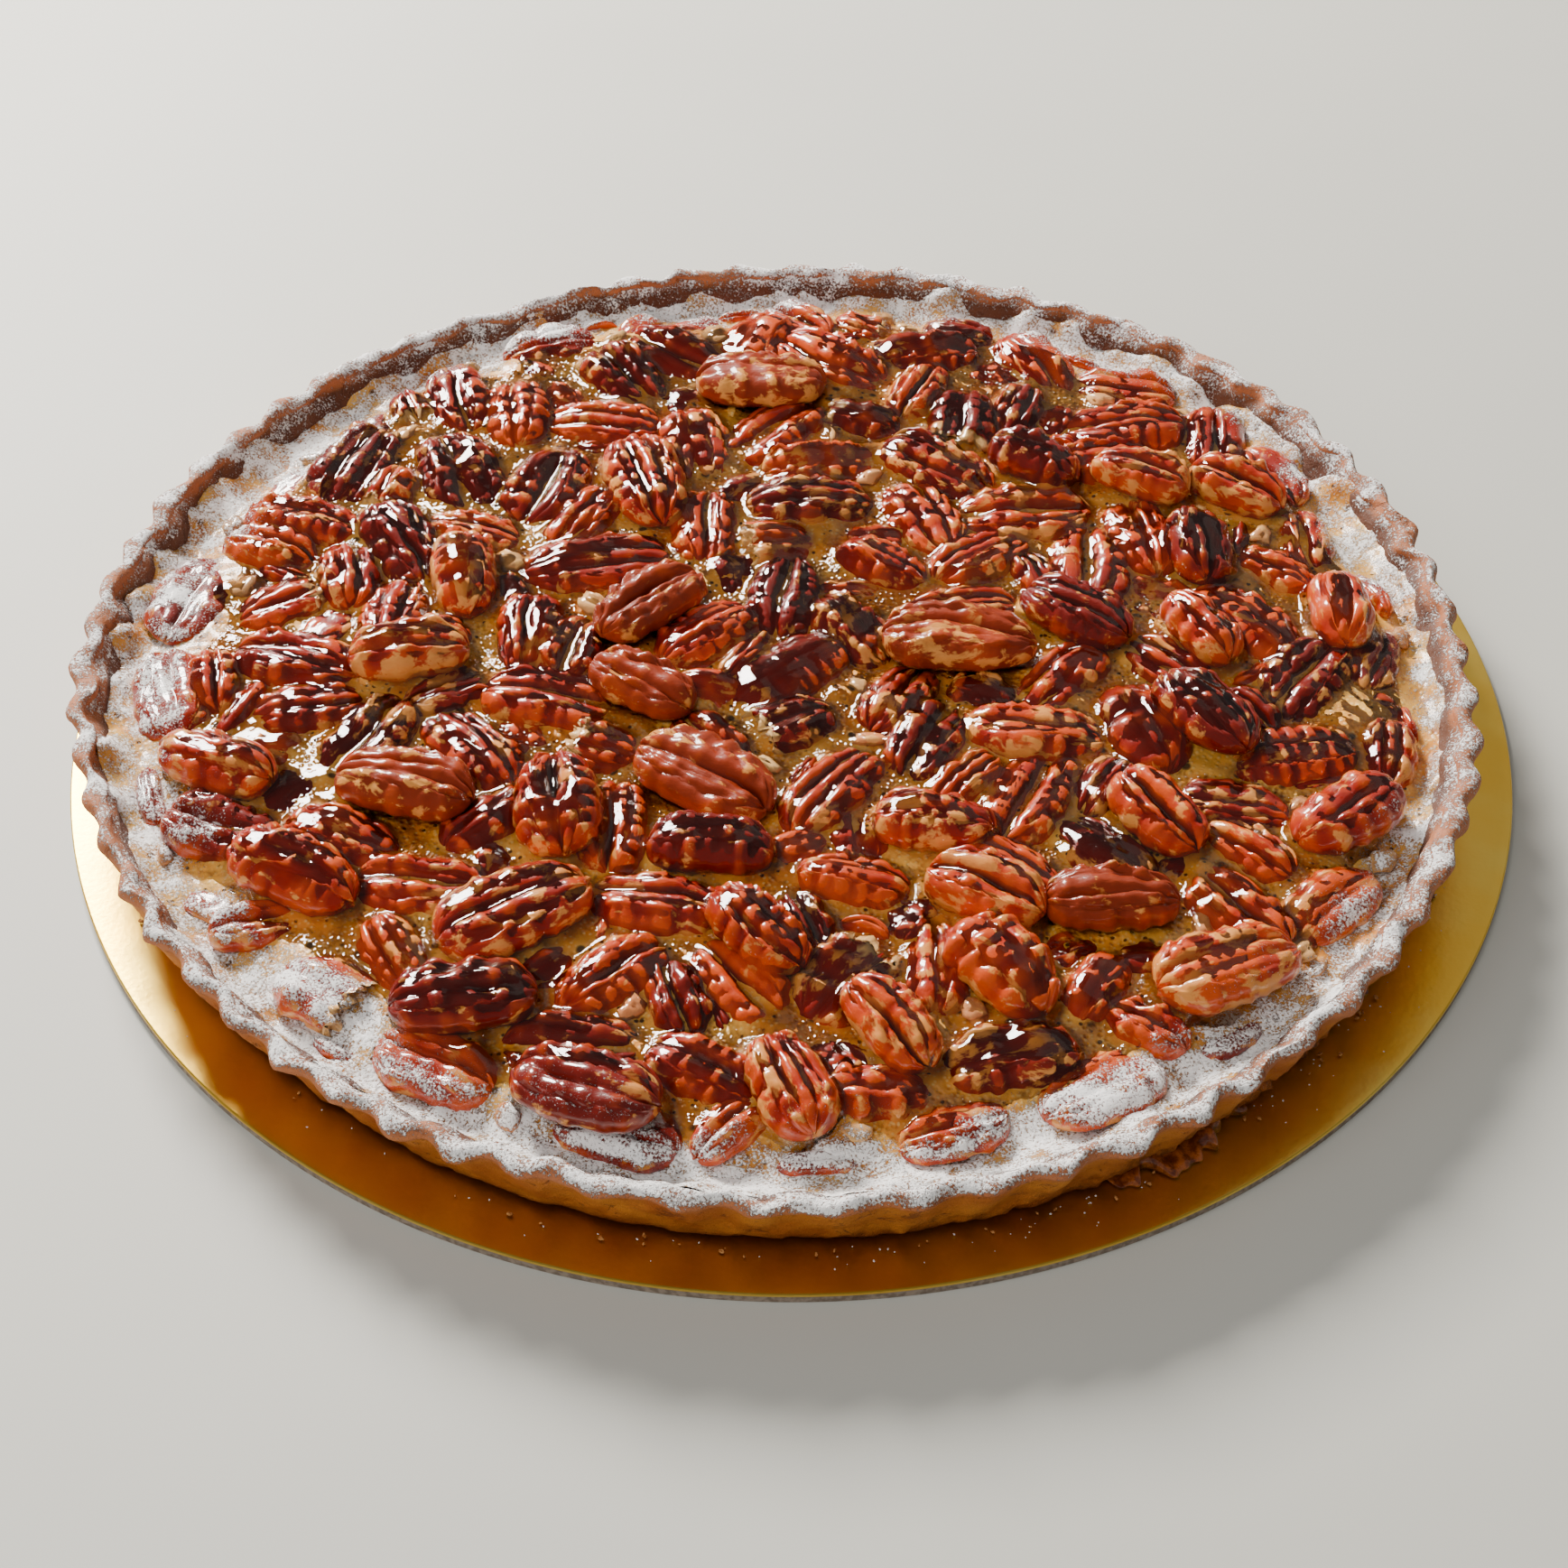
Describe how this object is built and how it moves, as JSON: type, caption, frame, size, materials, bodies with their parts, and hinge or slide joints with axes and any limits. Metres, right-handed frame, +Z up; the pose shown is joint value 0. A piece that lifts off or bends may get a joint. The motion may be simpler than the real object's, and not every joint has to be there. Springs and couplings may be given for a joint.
{
  "type": "pecan pie",
  "caption": "Whole round pecan tart in a shallow fluted pastry case, heaped with glazed pecan halves and dusted with icing sugar round the edge, on its thin round gold card.",
  "frame": {"origin": "centre of the round card's underside, on the surface that it rests on", "axes": "+Z up through the tart, -Y towards the side that the picture was taken from"},
  "size_m": [0.3, 0.3, 0.0293],
  "materials": {
    "gold_foil": "satin gold foil on card",
    "pastry": "baked shortcrust, matt and dry",
    "caramel_filling": "baked syrup filling, bubbly and glazed",
    "glazed_pecan": "pecans set in clear glossy glaze",
    "pecan_half": "roasted pecan half, glazed",
    "icing_sugar": "fine white powder",
    "card_edge": "cut grey-brown board",
    "clear_glaze": "clear apricot glaze"
  },
  "bodies": {
    "root": {"gold_card": "gold_foil", "crust": "pastry", "filling": "caramel_filling", "pecan_bed": "glazed_pecan", "pecan_01": "pecan_half", "pecan_02": "pecan_half", "pecan_03": "pecan_half", "pecan_04": "pecan_half", "pecan_05": "pecan_half", "pecan_06": "pecan_half", "pecan_07": "pecan_half", "pecan_08": "pecan_half", "pecan_09": "pecan_half", "pecan_10": "pecan_half", "pecan_11": "pecan_half", "pecan_12": "pecan_half", "pecan_13": "pecan_half", "pecan_14": "pecan_half", "pecan_15": "pecan_half", "pecan_16": "pecan_half", "pecan_17": "pecan_half", "pecan_18": "pecan_half", "pecan_19": "pecan_half", "pecan_20": "pecan_half", "pecan_21": "pecan_half", "pecan_22": "pecan_half", "pecan_23": "pecan_half", "pecan_24": "pecan_half", "pecan_25": "pecan_half", "pecan_26": "pecan_half", "pecan_27": "pecan_half", "pecan_28": "pecan_half", "pecan_29": "pecan_half", "pecan_30": "pecan_half", "pecan_31": "pecan_half", "pecan_32": "pecan_half", "pecan_33": "pecan_half", "pecan_34": "pecan_half"}
  },
  "joints": []
}
